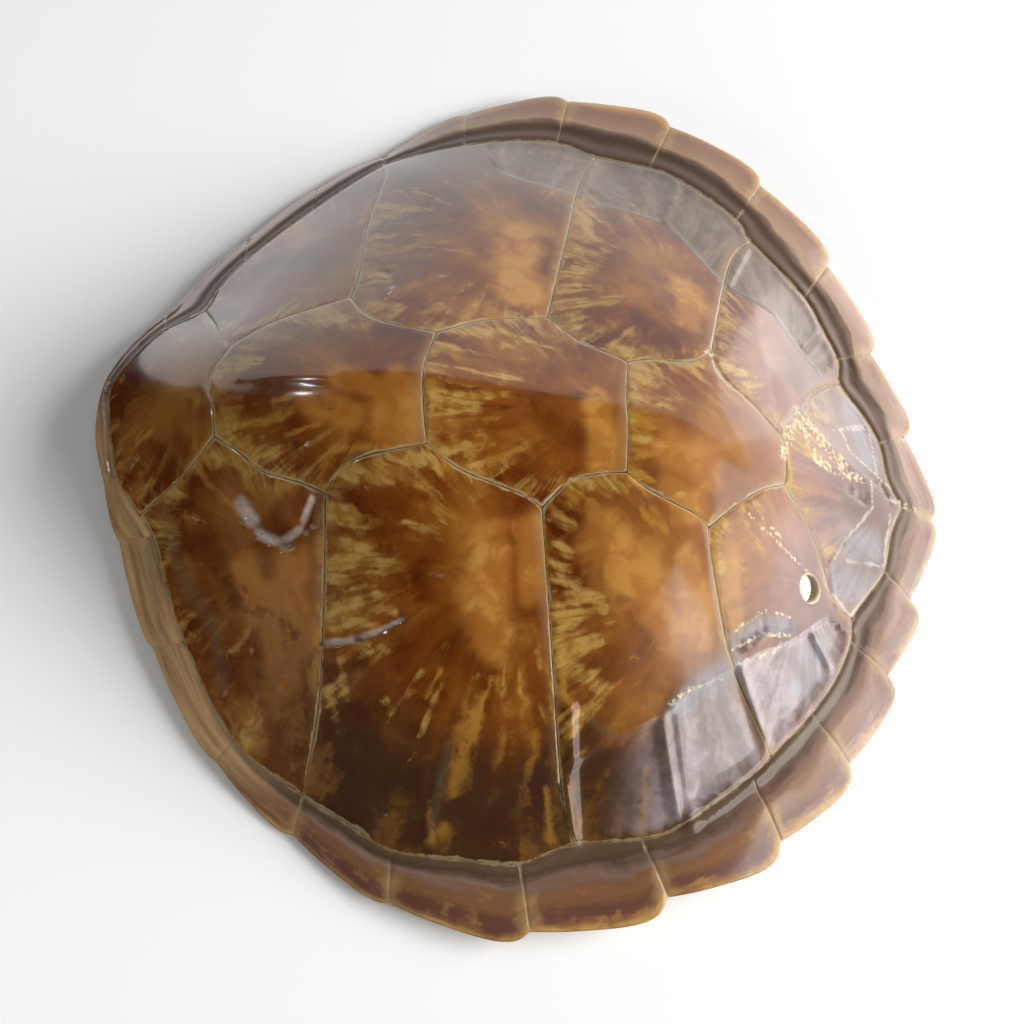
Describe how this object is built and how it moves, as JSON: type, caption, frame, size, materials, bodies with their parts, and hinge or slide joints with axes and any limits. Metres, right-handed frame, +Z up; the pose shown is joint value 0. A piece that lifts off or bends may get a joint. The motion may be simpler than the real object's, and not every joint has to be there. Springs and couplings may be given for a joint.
{
  "type": "sea turtle shell",
  "caption": "Varnished sea turtle carapace: a low keeled dome of horn scutes with grooved seams, a flared scalloped rim, a ribbed hollow underside and a small drilled hole near the tail.",
  "frame": {"origin": "Middle of the shell's plan box, on the ground that the rim rests on.", "axes": "+X from the head end to the tail, +Y to the animal's right side, across the shell (its longest extent), +Z up, away from the hollow."},
  "size_m": [0.412, 0.4278, 0.099],
  "materials": {
    "horn": "varnished horn, amber to dark brown with pale yellow streaks"
  },
  "bodies": {
    "root": {"carapace": "horn"}
  },
  "joints": []
}
